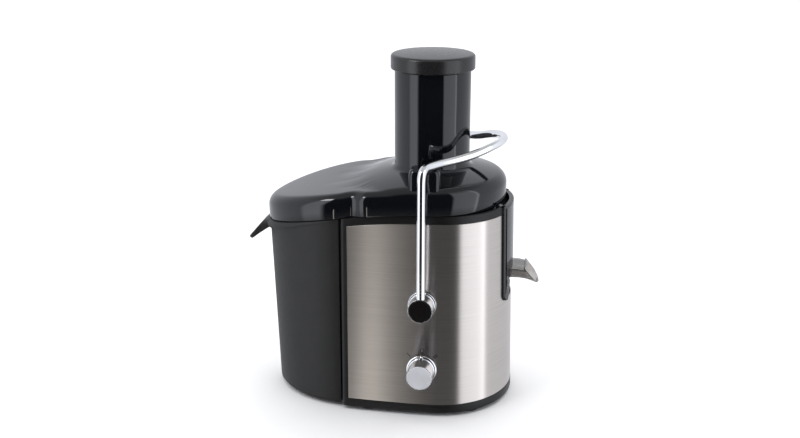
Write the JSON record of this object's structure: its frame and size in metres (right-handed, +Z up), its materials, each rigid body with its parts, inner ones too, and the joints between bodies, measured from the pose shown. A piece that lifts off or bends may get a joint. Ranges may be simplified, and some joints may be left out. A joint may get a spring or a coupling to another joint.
{
  "type": "centrifugal juicer",
  "caption": "Centrifugal juicer with a brushed steel base, smoky lid with wide feed tube and pusher, chrome locking arm, spout, speed knob and side pulp bin.",
  "frame": {"origin": "the middle of the footprint's bounding box, on the surface that the feet stand on", "axes": "+Z up, the controls face -Y, the spout faces +X and the pulp bin is at -X; the drive axis is vertical through x = 0.0455 m, y = 0"},
  "size_m": [0.3393, 0.2164, 0.397],
  "materials": {
    "housing_black": "satin",
    "skin_steel": "fine brushing across the front",
    "trim_black": "satin",
    "trim_gloss_black": "gloss",
    "soft_rubber": "matte",
    "fastener_steel": "plated",
    "bowl_smoke": "dark smoky, glossy",
    "spout_smoke": "smoky translucent",
    "lamination_steel": "laminated",
    "copper_wire": "enamelled wire",
    "bracket_aluminium": "cast",
    "bearing_steel": "ground",
    "brass_parts": "plain",
    "carbon": "matte",
    "switch_body": "satin",
    "terminal_plastic": "satin",
    "lead_sleeve": "satin",
    "bush_plastic": "satin",
    "copper_bars": "machined",
    "fan_plastic": "satin",
    "basket_plastic": "satin",
    "mesh_steel": "perforated",
    "lid_smoke": "smoky translucent, glossy",
    "pusher_smoke": "dark smoky",
    "arm_chrome": "polished",
    "knob_silver": "polished",
    "knob_face": "brushed",
    "bin_charcoal": "fine texture"
  },
  "bodies": {
    "base": {"base_housing": "housing_black", "motor_deck": "housing_black", "steel_skin": "skin_steel", "spout_frame": "trim_black", "base_plate": "housing_black", "rubber_feet": "soft_rubber", "base_screws": "fastener_steel", "juice_bowl": "bowl_smoke", "juice_spout": "spout_smoke", "shaft_seal": "soft_rubber", "motor_stator": "lamination_steel", "field_windings": "copper_wire", "upper_bracket": "bracket_aluminium", "lower_bracket": "bracket_aluminium", "upper_bearing": "bearing_steel", "lower_bearing": "bearing_steel", "brush_holders": "brass_parts", "carbon_brushes": "carbon", "motor_dampers": "soft_rubber", "motor_screws": "fastener_steel", "stator_bolts": "fastener_steel", "speed_switch": "switch_body", "interlock_switch": "switch_body", "terminal_block": "terminal_plastic", "internal_leads": "lead_sleeve", "cord_gland": "soft_rubber", "arm_bushes": "bush_plastic"},
    "spinner": {"motor_shaft": "bearing_steel", "rotor_core": "lamination_steel", "rotor_winding": "copper_wire", "commutator": "copper_bars", "cooling_fan": "fan_plastic", "drive_coupling": "trim_black", "basket_hub": "basket_plastic", "filter_mesh": "mesh_steel", "basket_rim": "basket_plastic", "grater_disc": "mesh_steel", "disc_rivets": "fastener_steel"},
    "lid": {"lid": "lid_smoke"},
    "pusher": {"pusher_body": "pusher_smoke", "pusher_cap": "trim_black"},
    "arm": {"locking_arm": "arm_chrome", "arm_hubs": "arm_chrome", "hub_caps": "trim_gloss_black", "pivot_pins": "bearing_steel"},
    "knob": {"speed_knob": "knob_silver", "knob_face_disc": "knob_face", "switch_spindle": "bearing_steel"},
    "bin": {"pulp_bin": "bin_charcoal"}
  },
  "joints": [
    {"name": "drive_spin", "type": "hinge", "parent": "base", "child": "spinner", "pos_m": [0.0455, 0, 0.1], "axis": [0, 0, 1], "continuous": true},
    {"name": "arm_swing", "type": "hinge", "parent": "base", "child": "arm", "pos_m": [0.0455, 0, 0.1347], "axis": [0, 1, 0], "range_deg": [0, 95]},
    {"name": "lid_lift", "type": "slide", "parent": "base", "child": "lid", "axis": [0, 0, 1], "range_m": [0, 0.1]},
    {"name": "bin_slide", "type": "slide", "parent": "base", "child": "bin", "axis": [-1, 0, 0], "range_m": [0, 0.12]},
    {"name": "pusher_slide", "type": "slide", "parent": "lid", "child": "pusher", "axis": [0, 0, 1], "range_m": [0, 0.19]},
    {"name": "knob_turn", "type": "hinge", "parent": "base", "child": "knob", "pos_m": [0.0455, -0.1, 0.058], "axis": [0, -1, 0], "range_deg": [-40, 40]}
  ],
  "couplings": [
    {"joint": "lid_lift", "follows": "arm_swing", "m_per_rad": 0.06031},
    {"joint": "bin_slide", "follows": "arm_swing", "m_per_rad": 0.07237}
  ]
}
